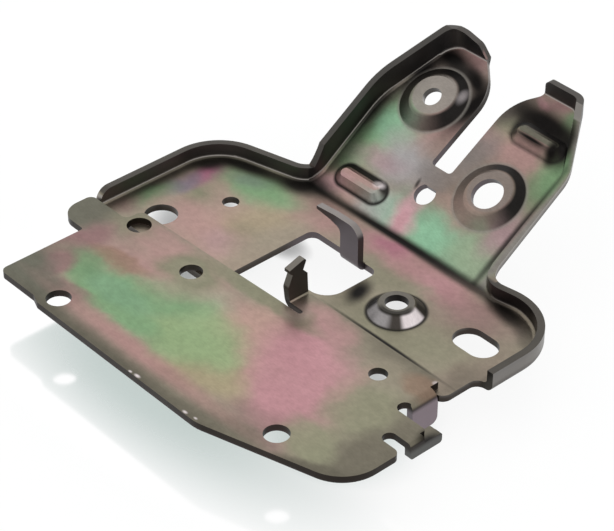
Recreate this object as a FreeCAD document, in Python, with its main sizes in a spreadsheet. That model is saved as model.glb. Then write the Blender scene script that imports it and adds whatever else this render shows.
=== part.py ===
import FreeCAD, Part
import os
import math
import Sketcher
from FreeCAD import Vector

# Stamped mounting plate: a horned rear sheet with a drawn rim, and a flat front sheet welded on top
# of its front strip. Millimetres, +Z up. X is zero on the line between the two horns, and Z is zero
# on the underside of the rear sheet. The sheets are drawn with Y zero on the line where the horns bend
# up, and then both move back by origin_setback, so that the origin lies on the base's flat underside.

os.makedirs("parts", exist_ok=True)
doc = FreeCAD.newDocument("mounting_plate")

DIMENSIONS = {
    # both sheets
    "gauge": 2.0,                 # sheet thickness
    "horn_angle": 31.0,           # how far the horns are bent up from the base, degrees
    "horn_bend": 2.5,             # radius on the upper face of that bend
    "foot_radius": 1.0,           # radius inside the foot of the drawn rim
    # the part's origin lies this far in front of the horns' bend, on the flat of the base
    "origin_setback": 2.0,
    # outline of the rear sheet over its rim: lobes, horn roots, waists and horn tips
    "left_lobe_side": -63.9,
    "left_lobe_back": -7.6,
    "left_lobe_corner": 16.0,
    "left_root_side": -33.2,
    "left_root_back": 0.5,
    "right_lobe_side": 63.9,
    "right_lobe_back": 6.1,
    "right_lobe_corner": 17.0,
    "right_root_side": 34.6,
    "right_root_back": 1.0,
    "root_corner": 5.0,
    "left_waist_side": -34.8,
    "left_waist_back": 27.0,
    "left_waist_corner": 20.0,
    "right_waist_side": 33.5,
    "right_waist_back": 32.5,
    "right_waist_corner": 10.0,
    "left_tip_side": -26.0,
    "left_tip_corner": 8.0,
    "right_tip_side": 22.0,
    "right_tip_corner": 5.0,
    "tip_back": 49.6,
    # height of the rim, seen from the side: tall on the left horn, a low lip on the right one
    "rim_low": 6.2,
    "rim_nose": 4.0,
    "left_step_start": 1.5,
    "left_step_end": 4.5,
    "left_rim_root": 12.6,
    "left_rim_back": 46.0,
    "left_rim_tip": 36.2,
    "left_tip_drop": -24.0,
    "left_tip_turn": -15.8,
    "left_tip_low": 34.2,
    "tip_round": 3.0,
    "rim_tip": 34.8,
    "right_tip_round": 1.6,
    "right_tip_flat": 14.0,
    "tip_foot": 31.0,
    "right_step_start": 4.5,
    "right_lip": 1.5,
    "right_lip_end": 41.0,
    "right_tip_start": 46.0,
    # front side of the rear sheet
    "left_foot_front": -50.1,
    "right_foot_front": -38.3,
    "right_foot_side": 58.8,
    "rim_end": -25.9,
    "relief": 2.8,
    "foot_corner": 3.0,
    # opening in the rear sheet, open to the front
    "opening_left": -14.9,
    "opening_back": -14.5,
    "opening_right": 10.6,
    "opening_step": -33.2,
    "opening_inner": 3.6,
    "opening_corner": 2.5,
    "opening_sweep": 6.0,
    # finger that stands at the back of the opening
    "finger_face": -17.0,
    "finger_left": -1.5,
    "finger_right": 5.4,
    "finger_top": 13.9,
    "finger_reach": -10.8,
    "finger_under": 10.6,
    "finger_nose": 13.3,
    "finger_neck": -4.0,
    "finger_crown": 4.0,
    "finger_tip": 2.0,
    "finger_lip": 12.4,
    "finger_throat": 11.7,
    "finger_bow": -5.5,
    # slot between the horns
    "slot_left": -4.65,
    "slot_right": 2.8,
    "slot_start": 22.4,
    "slot_corner": 1.2,
    "mouth_corner": 14.0,
    "mouth_turn": 3.0,
    "mouth_end": 62.0,
    "left_mouth_start": 47.7,
    "left_mouth_side": -12.9,
    "right_mouth_start": 48.1,
    "right_mouth_side": 9.4,
    # raised round bosses on the horns
    "boss_foot": 10.3,
    "boss_flat": 6.8,
    "boss_height": 1.9,
    "boss_inset": 0.5,
    "left_boss_across": -17.7,
    "left_boss_along": 38.3,
    "left_boss_hole": 5.6,
    "right_boss_across": 17.4,
    "right_boss_along": 22.7,
    "right_boss_hole": 9.2,
    # raised oblong beads on the horns
    "bead_half": 5.6,
    "bead_foot": 3.6,
    "bead_flat": 1.3,
    "bead_height": 1.9,
    "left_bead_across": -18.1,
    "left_bead_along": 7.2,
    "right_bead_across": 18.2,
    "right_bead_along": 42.7,
    # notch with one straight side, on the horns' root
    "key_across": 0.5,
    "key_along": 14.1,
    "key_radius": 3.2,
    "key_flat": 16.5,
    # raised cone on the base
    "cone_across": 26.0,
    "cone_back": -22.5,
    "cone_foot": 7.7,
    "cone_flat": 4.75,
    "cone_height": 3.0,
    "cone_hole": 6.3,
    # holes in the base of the rear sheet
    "small_hole": 4.8,
    "small_across": -39.5,
    "small_back": -22.6,
    "big_hole": 9.3,
    "big_across": -47.6,
    "big_back": -40.5,
    "oblong_half": 2.3,
    "oblong_radius": 4.4,
    "oblong_across": 48.7,
    "oblong_back": -16.4,
    # outline of the front sheet
    "plate_left": -54.1,
    "plate_front_left": -89.4,
    "plate_front": -90.6,
    "front_step": -39.5,
    "step_foot": -36.5,
    "slope_start": 27.0,
    "slope_end": -78.4,
    "plate_right": 68.2,
    "big_corner": 12.0,
    "slit_near": -61.4,
    "slit_far": -57.6,
    "slit_end": 60.6,
    "slit_corner": 1.85,
    "tab_back": -53.0,
    "step_side": 66.1,
    "step_back": -51.0,
    "notch_end": 54.9,
    "notch_back": -47.0,
    "notch_corner": 1.9,
    "fold_side": 55.2,
    "plate_back_right": -35.7,
    "tongue_right": 12.2,
    "tongue_front": -42.1,
    "tongue_gap": -43.6,
    "tongue_corner": 0.7,
    "ear_left": -50.0,
    "ear_back": -45.2,
    "ear_corner": 2.0,
    "lever_back": -50.7,
    "lever_front": -62.0,
    "lever_end": -64.9,
    "lever_corner": 6.0,
    "lever_round": 2.0,
    "plate_corner": 2.0,
    # hook that stands on the tongue of the front sheet
    "hook_face": 6.8,
    "hook_bend": 0.6,
    "hook_back": -36.0,
    "hook_shoulder": 8.5,
    "hook_belly": -42.6,
    "hook_neck_front": -41.1,
    "hook_neck_back": -37.5,
    "hook_neck": 12.1,
    "hook_head": 15.7,
    "hook_head_front": -42.1,
    "hook_head_low": 13.9,
    "hook_neck_top": 13.0,
    "hook_shoulder_back": 10.5,
    "hook_round": 2.0,
    # flange bent down at the right
    "flange_face": 57.5,
    "flange_bend": 0.3,
    "flange_front": -47.0,
    "flange_back": -39.0,
    "flange_spread": -38.3,
    "flange_foot": -6.0,
    "flange_round": 2.0,
    # small tab bent down beside the slit
    "ell_face": 67.8,
    "ell_bend": 0.3,
    "ell_front": -57.6,
    "ell_back": -47.0,
    "ell_arm": 2.1,
    "ell_foot": -0.9,
    "ell_corner": 0.9,
    # round holes in the front sheet
    "bolt_hole": 6.8,
    "left_bolt_across": -34.1,
    "left_bolt_back": -85.4,
    "right_bolt_across": 43.3,
    "right_bolt_back": -78.7,
    "rear_bolt_across": -45.4,
    "rear_bolt_back": -49.8,
    "rivet_hole": 6.3,
    "rivet_across": -20.1,
    "rivet_back": -52.7,
    "pin_hole": 5.0,
    "pin_across": 43.1,
    "pin_back": -45.1,
    # levels and sides well clear of the steel, for cutting shapes
    "far_back": 100.0,
    "clear_front": -60.0,
    "clear_right": 80.0,
    "clear_up": 70.0,
    "clear_down": -5.0,
    "base_level": 0.0,
    "clear_far": -120.0,
    "clear_deep": -40.0,
    "slot_depth": 30.0,
}

# worked out from the dimensions above, by expressions
WORKED = {
    "left_mouth_turn": "dims.left_mouth_start + dims.slot_left - dims.left_mouth_side",
    "right_mouth_turn": "dims.right_mouth_start + dims.right_mouth_side - dims.slot_right",
    "tip_inside": "dims.tip_back - dims.gauge - 1.5 * dims.foot_radius",
    "right_lip_root": "dims.gauge + dims.right_lip + dims.right_step_start * tan(dims.horn_angle * 1deg)",
    "right_lip_top": "dims.gauge + dims.right_lip + dims.right_lip_end * tan(dims.horn_angle * 1deg)",
    "clear_nose": "dims.left_foot_front + 1.5 * dims.rim_nose",
    "inner_offset": "-dims.gauge",
    "twice_gauge": "2 * dims.gauge",
    "horn_bend_outer": "dims.horn_bend + dims.gauge",
    "foot_outer": "dims.foot_radius + 1.4",
    "bend_under": "dims.gauge * tan(dims.horn_angle * 1deg / 2)",
    "far_top": "dims.gauge + dims.far_back * tan(dims.horn_angle * 1deg)",
    "far_under": "(dims.far_back - worked.bend_under) * tan(dims.horn_angle * 1deg)",
    "finger_back": "dims.finger_face + dims.gauge",
    "finger_foot": "worked.finger_back + 3",
    "finger_bend_outer": "dims.foot_radius + dims.gauge",
    "hook_rear": "dims.hook_face - dims.gauge",
    "hook_foot": "dims.hook_face + 3",
    "hook_bend_outer": "dims.hook_bend + dims.gauge",
    "flange_rear": "dims.flange_face - dims.gauge",
    "flange_inner": "dims.fold_side - 0.5",
    "flange_bend_outer": "dims.flange_bend + dims.gauge",
    "ell_rear": "dims.ell_face - dims.gauge",
    "ell_inner": "worked.ell_rear - 1.2",
    "ell_bend_outer": "dims.ell_bend + 0.8",
    "ell_foot_side": "worked.ell_inner - 0.5",
    "key_diameter": "2 * dims.key_radius",
}

sheet = doc.addObject("Spreadsheet::Sheet", "dims")
for row, (alias, number) in enumerate(DIMENSIONS.items(), start=1):
    sheet.set("A%d" % row, alias)
    sheet.set("B%d" % row, str(number))
    sheet.setAlias("B%d" % row, alias)
doc.recompute()
worked = doc.addObject("App::VarSet", "worked")
for alias, rule in WORKED.items():
    worked.addProperty("App::PropertyFloat", alias, "worked")
    worked.setExpression(alias, rule)
doc.recompute()


def link(cell):
    """Name of a dimension as expressions read it."""
    return ("dims." if cell in DIMENSIONS else "worked.") + cell


def value(cell):
    """Number held by a dimension, given or worked out."""
    return float(sheet.get(cell)) if cell in DIMENSIONS else float(getattr(worked, cell))


def bind(item, **links):
    """Tie properties of an object to dimensions; double underscores stand for dots."""
    for path, cell in links.items():
        known = cell in DIMENSIONS or cell in WORKED
        item.setExpression(path.replace("__", "."), link(cell) if known else cell)
    return item


def outline(name, corners, placement=None):
    """Closed outline through corners (x cell, y cell, radius cell or None)."""
    sketch = doc.addObject("Sketcher::SketchObject", name)
    count = len(corners)
    points = [Vector(value(c[0]), value(c[1]), 0) for c in corners]
    radii = [value(c[2]) if c[2] else 0.0 for c in corners]
    starts, ends = [], []
    for i in range(count):
        before = (points[i - 1] - points[i]).normalize()
        after = (points[(i + 1) % count] - points[i]).normalize()
        reach = radii[i] / math.tan(before.getAngle(after) / 2) if radii[i] else 0.0
        ends.append(points[i] + before * reach)
        starts.append(points[i] + after * reach)
    lines = [sketch.addGeometry(Part.LineSegment(starts[i], ends[(i + 1) % count]), False)
             for i in range(count)]
    for i in range(count):
        x_cell, y_cell, r_cell = corners[i]
        line_in, line_out = lines[i - 1], lines[i]
        if r_cell:
            before = (points[i - 1] - points[i]).normalize()
            after = (points[(i + 1) % count] - points[i]).normalize()
            half = before.getAngle(after) / 2
            centre = points[i] + (before + after).normalize() * (radii[i] / math.sin(half))
            middle = centre + (points[i] - centre).normalize() * radii[i]
            turn = (ends[i] - centre).cross(starts[i] - centre).z
            arc = Part.Arc(ends[i], middle, starts[i])
            g = sketch.addGeometry(arc, False)
            first, last = (1, 2) if turn > 0 else (2, 1)
            sketch.addConstraint(Sketcher.Constraint("Tangent", line_in, 2, g, first))
            sketch.addConstraint(Sketcher.Constraint("Tangent", g, last, line_out, 1))
            c = sketch.addConstraint(Sketcher.Constraint("Radius", g, radii[i]))
            sketch.setExpression("Constraints[%d]" % c, link(r_cell))
            mark = sketch.addGeometry(Part.Point(points[i]), True)
            sketch.addConstraint(Sketcher.Constraint("PointOnObject", mark, 1, line_in))
            sketch.addConstraint(Sketcher.Constraint("PointOnObject", mark, 1, line_out))
            geo, pos = mark, 1
        else:
            sketch.addConstraint(Sketcher.Constraint("Coincident", line_in, 2, line_out, 1))
            geo, pos = line_out, 1
        for kind, cell in (("DistanceX", x_cell), ("DistanceY", y_cell)):
            c = sketch.addConstraint(Sketcher.Constraint(kind, -1, 1, geo, pos, value(cell)))
            sketch.setExpression("Constraints[%d]" % c, link(cell))
    if placement:
        sketch.Placement = placement
    doc.recompute()
    return sketch


def obround(name, half, radius, placement=None):
    """Long hole along X about the sketch's own origin: half the centre distance, end radius."""
    sketch = doc.addObject("Sketcher::SketchObject", name)
    a, r = value(half), value(radius)
    quarter = math.pi / 2

    def end_arc(centre, first):
        circle = Part.Circle(Vector(centre, 0, 0), Vector(0, 0, 1), r)
        return sketch.addGeometry(Part.ArcOfCircle(circle, first, first + 2 * quarter), False)

    right = end_arc(a, -quarter)
    top = sketch.addGeometry(Part.LineSegment(Vector(a, r, 0), Vector(-a, r, 0)), False)
    left = end_arc(-a, quarter)
    low = sketch.addGeometry(Part.LineSegment(Vector(-a, -r, 0), Vector(a, -r, 0)), False)
    for one, two in ((right, top), (top, left), (left, low), (low, right)):
        sketch.addConstraint(Sketcher.Constraint("Tangent", one, 2, two, 1))
    sketch.addConstraint(Sketcher.Constraint("PointOnObject", right, 3, -1))
    sketch.addConstraint(Sketcher.Constraint("Symmetric", right, 3, left, 3, -1, 1))
    c = sketch.addConstraint(Sketcher.Constraint("DistanceX", -1, 1, right, 3, a))
    sketch.setExpression("Constraints[%d]" % c, link(half))
    c = sketch.addConstraint(Sketcher.Constraint("Radius", right, r))
    sketch.setExpression("Constraints[%d]" % c, link(radius))
    if placement:
        sketch.Placement = placement
    doc.recompute()
    return sketch


def extrude(name, sketch, forward, backward="base_level", direction=(0, 0, 1)):
    """Solid from a sketch, between two cells' distances along a direction."""
    solid = doc.addObject("Part::Extrusion", name)
    solid.Base = sketch
    solid.DirMode = "Custom"
    solid.Dir = Vector(*direction)
    solid.Solid = True
    bind(solid, LengthFwd=forward, LengthRev=backward)
    return solid


def fuse(name, shapes):
    item = doc.addObject("Part::MultiFuse", name)
    item.Shapes = shapes
    item.Refine = True
    return item


def common(name, shapes):
    item = doc.addObject("Part::MultiCommon", name)
    item.Shapes = shapes
    return item


def cut(name, base, tool):
    item = doc.addObject("Part::Cut", name)
    item.Base = base
    item.Tool = tool
    return item


def cylinder(name, diameter, across, back):
    """Upright drill through a flat sheet, bound to its diameter and place."""
    item = doc.addObject("Part::Cylinder", name)
    item.Height = 30
    bind(item, Radius="%s / 2" % link(diameter), Placement__Base__x=across, Placement__Base__y=back)
    item.setExpression("Placement.Base.z", "dims.clear_down")
    return item


def on_horn(item, across, along, lift="0"):
    """Place an object on the horns' upper face: across, along the slope, lifted off it."""
    item.Placement = FreeCAD.Placement(Vector(0, 0, 0), FreeCAD.Rotation(Vector(1, 0, 0), 1.0))
    angle = "dims.horn_angle * 1deg"
    item.setExpression("Placement.Rotation.Angle", angle)
    item.setExpression("Placement.Base.x", across)
    item.setExpression("Placement.Base.y", "(%s) * cos(%s) - (%s) * sin(%s)" % (along, angle, lift, angle))
    item.setExpression("Placement.Base.z",
                       "dims.gauge + (%s) * sin(%s) + (%s) * cos(%s)" % (along, angle, lift, angle))
    return item


def cone(name, foot, flat, height, inset=None):
    item = doc.addObject("Part::Cone", name)
    less = " - dims." + inset if inset else ""
    bind(item, Radius1="dims." + foot + less, Radius2="dims." + flat + less, Height=height)
    return item


# sketch planes: side view (sketch x is Y, sketch y is Z) and front view (sketch x is X, sketch y is Z)
SIDE = FreeCAD.Placement(
    Vector(0, 0, 0), FreeCAD.Rotation(Vector(0, 1, 0), Vector(0, 0, 1), Vector(1, 0, 0), "XYZ"))
FRONT = FreeCAD.Placement(Vector(0, 0, 0), FreeCAD.Rotation(Vector(1, 0, 0), 90))


def rear_blank():
    """Base, horns and drawn rim in one gauge of steel."""
    rim = outline("rim_outline", [
        ("left_lobe_side", "clear_front", None),
        ("right_lobe_side", "clear_front", None),
        ("right_lobe_side", "right_lobe_back", "right_lobe_corner"),
        ("right_root_side", "right_root_back", "root_corner"),
        ("right_waist_side", "right_waist_back", "right_waist_corner"),
        ("right_tip_side", "tip_back", "right_tip_corner"),
        ("left_tip_side", "tip_back", "left_tip_corner"),
        ("left_waist_side", "left_waist_back", "left_waist_corner"),
        ("left_root_side", "left_root_back", "root_corner"),
        ("left_lobe_side", "left_lobe_back", "left_lobe_corner"),
    ])
    inside = doc.addObject("Part::Offset2D", "rim_inside")
    inside.Source = rim
    inside.Join = "Intersection"
    bind(inside, Value="inner_offset")
    outer = extrude("rim_outer_solid", rim, "clear_up", "-dims.clear_down")
    inner = extrude("rim_inner_solid", inside, "clear_up", "-dims.clear_down")
    under = [("clear_front", "base_level", None), ("bend_under", "base_level", "horn_bend_outer"),
             ("far_back", "far_under", None)]
    left = extrude("left_envelope", outline("left_side", under + [
        ("far_back", "left_rim_tip", None),
        ("left_rim_back", "left_rim_tip", None),
        ("left_step_end", "left_rim_root", None),
        ("left_step_start", "rim_low", None),
        ("clear_front", "rim_low", None),
    ], SIDE), "clear_right", "base_level", (-1, 0, 0))
    right = extrude("right_envelope", outline("right_side", under + [
        ("far_back", "rim_tip", None),
        ("right_tip_start", "rim_tip", None),
        ("right_lip_end", "right_lip_top", None),
        ("right_step_start", "right_lip_root", None),
        ("right_step_start", "rim_low", None),
        ("clear_front", "rim_low", None),
    ], SIDE), "clear_right", "base_level", (1, 0, 0))
    envelope = fuse("side_envelope", [left, right])
    hollow = extrude("side_hollow", outline("upper_face", [
        ("clear_front", "gauge", None),
        ("base_level", "gauge", "horn_bend"),
        ("far_back", "far_top", None),
        ("far_back", "clear_right", None),
        ("clear_front", "clear_right", None),
    ], SIDE), "clear_right", "clear_right", (1, 0, 0))
    solid = common("drawn_solid", [outer, envelope])
    space = common("drawn_space", [inner, hollow])
    return cut("drawn_shell", solid, space)


def edges_where(shape, test):
    """Numbers of the shape's edges that pass a test, as a fillet wants them."""
    return [i + 1 for i, edge in enumerate(shape.Edges) if test(edge)]


def fillet(name, base, numbers, radius):
    item = doc.addObject("Part::Fillet", name)
    item.Base = base
    item.Edges = [(i, value(radius), value(radius)) for i in numbers]
    doc.recompute()
    return item


def face_edges(shape, level):
    """Edges all round one face of the bent sheet, at a level through its thickness."""
    angle = math.radians(value("horn_angle"))

    def height(point):
        base = point.z - value("gauge")
        horn = base * math.cos(angle) - point.y * math.sin(angle)
        if point.y <= 0:
            return base
        return min(base, horn) if base > -0.5 * value("gauge") or level == 0 else max(base, horn)

    def wanted(edge):
        first, last = edge.ParameterRange
        points = [edge.valueAt(first + (last - first) * k / 4) for k in range(5)]
        before_tip = points[0].y < value("tip_back") - 2 * value("gauge")
        across = abs(points[0].y - points[-1].y) < 0.01 and before_tip
        return all(abs(height(p) - level) < 0.35 for p in points) and not across

    return edges_where(shape, wanted)


def bead(name, across, along, lift, inset=None):
    """Oblong bead across a horn: a ridge with sloping sides and half a cone at each end."""
    less = " - dims." + inset if inset else ""
    foot, flat = "dims.bead_foot" + less, "dims.bead_flat" + less
    ends = []
    for end, step in (("_left", " - dims.bead_half"), ("_right", " + dims.bead_half")):
        item = cone(name + end, "bead_foot", "bead_flat", "bead_height", inset)
        ends.append(on_horn(item, across + step, along, lift))
    ridge = doc.addObject("Part::Wedge", name + "_middle")
    bind(ridge, Xmin="-dims.bead_half", X2min="-dims.bead_half", Xmax="dims.bead_half",
         X2max="dims.bead_half", Ymin="base_level", Ymax="bead_height",
         Zmin="-(%s)" % foot, Zmax=foot, Z2min="-(%s)" % flat, Z2max=flat)
    on_horn(ridge, across, along, lift)
    ridge.setExpression("Placement.Rotation.Angle", "dims.horn_angle * 1deg + 90deg")
    return ends + [ridge]


def rear_raised(blank):
    """Bosses and beads pressed up from the horns, and the cone pressed up from the base."""
    raised, sunk = [], []
    for side in ("left", "right"):
        across, along = "dims.%s_boss_across" % side, "dims.%s_boss_along" % side
        raised.append(on_horn(cone(side + "_boss", "boss_foot", "boss_flat", "boss_height"), across, along))
        sunk.append(on_horn(cone(side + "_boss_under", "boss_foot", "boss_flat", "boss_height", "boss_inset"),
                            across, along, "-dims.gauge"))
        across, along = "dims.%s_bead_across" % side, "dims.%s_bead_along" % side
        raised += bead(side + "_bead", across, along, "0")
        sunk += bead(side + "_bead_under", across, along, "-dims.gauge", "boss_inset")
    for name, group, level, inset in (("cone_top", raised, "gauge", None),
                                      ("cone_under", sunk, "base_level", "boss_inset")):
        item = cone(name, "cone_foot", "cone_flat", "cone_height", inset)
        bind(item, Placement__Base__x="cone_across", Placement__Base__y="cone_back",
             Placement__Base__z=level)
        group.append(item)
    return cut("rear_pressed", fuse("rear_raised", [blank] + raised), fuse("rear_sunk", sunk))


def horn_drill(name, diameter, across, along):
    """Drill square to the horns."""
    item = doc.addObject("Part::Cylinder", name)
    item.Height = 16
    bind(item, Radius="%s / 2" % link(diameter))
    return on_horn(item, across, along, "-8")


def rear_cuts():
    """Everything pierced or trimmed out of the rear sheet."""
    tools = [
        cylinder("small_drill", "small_hole", "small_across", "small_back"),
        cylinder("big_drill", "big_hole", "big_across", "big_back"),
        cylinder("cone_drill", "cone_hole", "cone_across", "cone_back"),
        horn_drill("left_boss_drill", "left_boss_hole", "dims.left_boss_across", "dims.left_boss_along"),
        horn_drill("right_boss_drill", "right_boss_hole", "dims.right_boss_across", "dims.right_boss_along"),
    ]
    oblong = obround("oblong_outline", "oblong_half", "oblong_radius")
    bind(oblong, Placement__Base__x="oblong_across", Placement__Base__y="oblong_back")
    tools.append(extrude("oblong_tool", oblong, "far_back", "far_back"))
    key = horn_drill("key_round", "key_diameter", "dims.key_across", "dims.key_along")
    flat = doc.addObject("Part::Box", "key_side")
    bind(flat, Length="key_diameter", Width="key_diameter", Height="key_diameter")
    on_horn(flat, "dims.key_across - dims.key_radius", "dims.key_flat - worked.key_diameter",
            "-dims.key_radius")
    tools.append(common("key_tool", [key, flat]))
    slot = outline("slot_outline", [
        ("slot_left", "slot_start", "slot_corner"),
        ("slot_right", "slot_start", "slot_corner"),
        ("slot_right", "right_mouth_start", "mouth_corner"),
        ("right_mouth_side", "right_mouth_turn", "mouth_turn"),
        ("right_mouth_side", "mouth_end", None),
        ("left_mouth_side", "mouth_end", None),
        ("left_mouth_side", "left_mouth_turn", "mouth_turn"),
        ("slot_left", "left_mouth_start", "mouth_corner"),
    ])
    on_horn(slot, "0", "0")
    slot_tool = doc.addObject("Part::Extrusion", "slot_tool")
    slot_tool.Base = slot
    slot_tool.DirMode = "Normal"
    slot_tool.Solid = True
    slot_tool.Symmetric = True
    bind(slot_tool, LengthFwd="slot_depth")
    tools.append(slot_tool)
    tools.append(extrude("tip_trim", outline("tip_trim_outline", [
        ("left_tip_drop", "clear_up", None),
        ("left_tip_drop", "left_rim_tip", None),
        ("left_tip_turn", "left_tip_low", "tip_round"),
        ("left_mouth_side", "tip_foot", None),
        ("right_mouth_side", "tip_foot", None),
        ("right_mouth_side", "rim_tip", "right_tip_round"),
        ("right_tip_flat", "rim_tip", None),
        ("right_tip_flat", "clear_up", None),
    ], FRONT), "far_back", "-worked.tip_inside", (0, 1, 0)))
    tools.append(extrude("opening_tool", outline("opening_outline", [
        ("opening_left", "clear_front", None),
        ("opening_inner", "clear_front", None),
        ("opening_inner", "opening_step", None),
        ("opening_right", "opening_step", "opening_sweep"),
        ("opening_right", "opening_back", "opening_corner"),
        ("opening_left", "opening_back", "opening_corner"),
    ]), "far_back", "far_back"))
    tools.append(extrude("left_trim", outline("left_trim_side", [
        ("clear_far", "clear_down", None),
        ("left_foot_front", "clear_down", None),
        ("left_foot_front", "rim_low", "rim_nose"),
        ("clear_nose", "rim_low", None),
        ("clear_nose", "clear_up", None),
        ("clear_far", "clear_up", None),
    ], SIDE), "clear_right", "opening_left", (-1, 0, 0)))
    tools.append(extrude("right_trim", outline("right_trim_outline", [
        ("opening_left", "clear_far", None),
        ("clear_right", "clear_far", None),
        ("clear_right", "rim_end", None),
        ("right_foot_side", "rim_end", "relief"),
        ("right_foot_side", "right_foot_front", "foot_corner"),
        ("opening_left", "right_foot_front", None),
    ]), "far_back", "far_back"))
    return tools


def finger():
    """Finger that stands on the back edge of the opening and points left."""
    bend = extrude("finger_bend", outline("finger_side", [
        ("finger_foot", "base_level", None),
        ("finger_foot", "gauge", None),
        ("finger_back", "gauge", "foot_radius"),
        ("finger_back", "clear_right", None),
        ("finger_face", "clear_right", None),
        ("finger_face", "base_level", "finger_bend_outer"),
    ], SIDE), "clear_right", "clear_right", (1, 0, 0))
    shape = extrude("finger_shape", outline("finger_outline", [
        ("finger_left", "clear_down", None),
        ("finger_right", "clear_down", None),
        ("finger_right", "finger_top", "finger_crown"),
        ("finger_neck", "finger_top", "finger_tip"),
        ("finger_reach", "finger_nose", None),
        ("finger_reach", "finger_lip", None),
        ("finger_bow", "finger_throat", "finger_tip"),
        ("finger_left", "finger_under", "finger_tip"),
    ], FRONT), "clear_right", "clear_right", (0, 1, 0))
    return common("finger", [bend, shape])


# front sheet
def front_outline():
    """Flat outline of the front sheet, without the folded pieces."""
    return outline("plate_outline", [
        ("plate_left", "plate_front_left", "plate_corner"),
        ("front_step", "plate_front_left", "plate_corner"),
        ("step_foot", "plate_front", "plate_corner"),
        ("slope_start", "plate_front", "big_corner"),
        ("plate_right", "slope_end", "big_corner"),
        ("plate_right", "slit_near", "plate_corner"),
        ("slit_end", "slit_near", "slit_corner"),
        ("slit_end", "slit_far", "slit_corner"),
        ("ell_inner", "slit_far", None),
        ("ell_inner", "tab_back", None),
        ("step_side", "tab_back", None),
        ("step_side", "step_back", "tongue_corner"),
        ("notch_end", "step_back", "notch_corner"),
        ("notch_end", "notch_back", "notch_corner"),
        ("fold_side", "notch_back", None),
        ("fold_side", "plate_back_right", "tongue_corner"),
        ("hook_foot", "plate_back_right", None),
        ("hook_foot", "tongue_front", None),
        ("tongue_right", "tongue_front", "tongue_corner"),
        ("tongue_right", "tongue_gap", "tongue_corner"),
        ("hook_rear", "tongue_gap", None),
        ("ear_left", "ear_back", "ear_corner"),
        ("ear_left", "lever_back", "ear_corner"),
        ("lever_end", "lever_back", "lever_round"),
        ("lever_end", "lever_front", "lever_corner"),
        ("plate_left", "lever_front", "tongue_corner"),
    ])


def front_folds():
    """Hook folded up from the tongue, flange and small tab folded down at the right."""
    hook_bend = extrude("hook_bend_solid", outline("hook_side", [
        ("hook_foot", "gauge", None),
        ("hook_foot", "twice_gauge", None),
        ("hook_face", "twice_gauge", "hook_bend"),
        ("hook_face", "clear_up", None),
        ("hook_rear", "clear_up", None),
        ("hook_rear", "gauge", "hook_bend_outer"),
    ], FRONT), "clear_right", "clear_right", (0, 1, 0))
    hook_shape = extrude("hook_shape", outline("hook_outline", [
        ("tongue_front", "base_level", None),
        ("tongue_front", "twice_gauge", None),
        ("hook_belly", "hook_shoulder", "hook_round"),
        ("hook_neck_front", "hook_neck", None),
        ("hook_head_front", "hook_neck_top", None),
        ("hook_head_front", "hook_head_low", None),
        ("hook_back", "hook_head", "tongue_corner"),
        ("hook_neck_back", "hook_neck", None),
        ("hook_back", "hook_shoulder_back", None),
        ("plate_back_right", "twice_gauge", None),
        ("plate_back_right", "base_level", None),
    ], SIDE), "clear_right", "clear_right", (1, 0, 0))
    flange_bend = extrude("flange_bend_solid", outline("flange_side", [
        ("flange_inner", "twice_gauge", None),
        ("flange_inner", "gauge", None),
        ("flange_rear", "gauge", "flange_bend"),
        ("flange_rear", "clear_deep", None),
        ("flange_face", "clear_deep", None),
        ("flange_face", "twice_gauge", "flange_bend_outer"),
    ], FRONT), "clear_right", "clear_right", (0, 1, 0))
    flange_shape = extrude("flange_shape", outline("flange_outline", [
        ("flange_front", "clear_up", None),
        ("flange_front", "flange_foot", "flange_round"),
        ("flange_spread", "flange_foot", "flange_round"),
        ("flange_spread", "base_level", None),
        ("flange_back", "twice_gauge", None),
        ("flange_back", "clear_up", None),
    ], SIDE), "clear_right", "clear_right", (1, 0, 0))
    ell_bend = extrude("ell_bend_solid", outline("ell_side", [
        ("ell_foot_side", "twice_gauge", None),
        ("ell_foot_side", "gauge", None),
        ("ell_rear", "gauge", "ell_bend"),
        ("ell_rear", "clear_deep", None),
        ("ell_face", "clear_deep", None),
        ("ell_face", "twice_gauge", "ell_bend_outer"),
    ], FRONT), "clear_right", "clear_right", (0, 1, 0))
    ell_shape = extrude("ell_shape", outline("ell_outline", [
        ("ell_front", "clear_up", None),
        ("ell_front", "ell_foot", "ell_corner"),
        ("ell_back", "ell_foot", "ell_corner"),
        ("ell_back", "ell_arm", "ell_corner"),
        ("tab_back", "ell_arm", None),
        ("tab_back", "clear_up", None),
    ], SIDE), "clear_right", "clear_right", (1, 0, 0))
    return [common("hook", [hook_bend, hook_shape]), common("flange", [flange_bend, flange_shape]),
            common("ell_tab", [ell_bend, ell_shape])]


def front_sheet():
    flat = extrude("plate_flat", front_outline(), "twice_gauge", "-dims.gauge")
    body = fuse("plate_folded", [flat] + front_folds())
    drills = [
        cylinder("left_bolt_drill", "bolt_hole", "left_bolt_across", "left_bolt_back"),
        cylinder("right_bolt_drill", "bolt_hole", "right_bolt_across", "right_bolt_back"),
        cylinder("rear_bolt_drill", "bolt_hole", "rear_bolt_across", "rear_bolt_back"),
        cylinder("rivet_drill", "rivet_hole", "rivet_across", "rivet_back"),
        cylinder("pin_drill", "pin_hole", "pin_across", "pin_back"),
    ]
    return cut("front_plate", body, fuse("plate_drills", drills))


def rear_sheet():
    shell = rear_blank()
    doc.recompute()
    foot = fillet("rim_foot", shell, face_edges(shell.Shape, 0.0), "foot_radius")
    knee = fillet("rim_knee", foot, face_edges(foot.Shape, -value("gauge")), "foot_outer")
    pressed = rear_raised(knee)
    pierced = cut("rear_pierced", pressed, fuse("rear_tools", rear_cuts()))
    return fuse("horned_plate", [pierced, finger()])


nodes = {"horned_plate": rear_sheet(), "front_plate": front_sheet()}
for label, node in nodes.items():
    node.Label = label
    bind(node, Placement__Base__y="origin_setback")
doc.recompute()

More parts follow.
